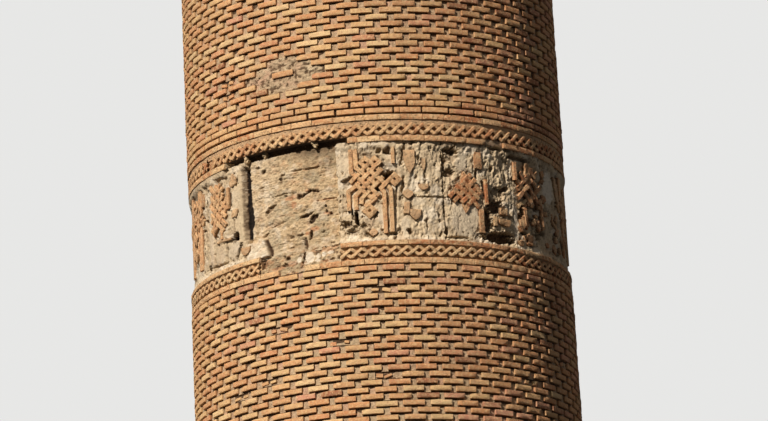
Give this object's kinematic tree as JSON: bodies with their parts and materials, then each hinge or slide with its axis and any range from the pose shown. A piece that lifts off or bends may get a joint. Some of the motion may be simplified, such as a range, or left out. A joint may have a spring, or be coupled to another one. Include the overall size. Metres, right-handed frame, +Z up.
{
  "type": "minaret",
  "caption": "Round tapering brick minaret on an octagonal plinth with a pointed doorway, a plaster knotwork band between terracotta chains, and a parapeted gallery.",
  "frame": {"origin": "centre of the plinth at ground level", "axes": "+Z up the tower's axis; -Y towards the side that shows the lost panel of the ornament band; +X towards the doorway"},
  "size_m": [5, 5, 21.05],
  "materials": {
    "brick": "matte weathered fired brick with grey-beige lime mortar",
    "terracotta": "matte weathered terracotta",
    "plaster": "matte weathered lime and gypsum plaster",
    "rubble": "rough mortar-daubed core masonry",
    "stone": "matte worn stone"
  },
  "bodies": {
    "root": {"plinth_wall_front": "brick", "plinth_wall_front_right": "brick", "doorway_jamb_front": "brick", "doorway_jamb_back": "brick", "doorway_arch": "brick", "doorway_threshold": "stone", "floor_slab": "stone", "plinth_wall_back_right": "brick", "plinth_wall_back": "brick", "plinth_wall_back_left": "brick", "plinth_wall_left": "brick", "plinth_wall_front_left": "brick", "lower_shaft_quarter_1": "brick", "lower_shaft_quarter_2": "brick", "lower_shaft_quarter_3": "brick", "lower_shaft_quarter_4": "brick", "upper_shaft_quarter_1": "brick", "upper_shaft_quarter_2": "brick", "upper_shaft_quarter_3": "brick", "upper_shaft_quarter_4": "brick", "lower_band_bottom_fillet": "terracotta", "lower_band_chain": "terracotta", "lower_band_top_fillet": "terracotta", "upper_band_bottom_fillet": "terracotta", "upper_band_chain": "terracotta", "upper_band_top_fillet": "terracotta", "knot_panel_01": "plaster", "knot_panel_02": "plaster", "knot_panel_03": "plaster", "knot_panel_04": "plaster", "knot_panel_05": "plaster", "knot_panel_06": "plaster", "knot_panel_07": "plaster", "knot_panel_08": "plaster", "knot_panel_09": "plaster", "knot_panel_10": "plaster", "knot_panel_11": "plaster", "knot_panel_12": "plaster", "bare_core_patch": "rubble", "cornice": "brick", "gallery_floor": "stone", "parapet": "brick", "parapet_coping": "stone"}
  },
  "joints": []
}
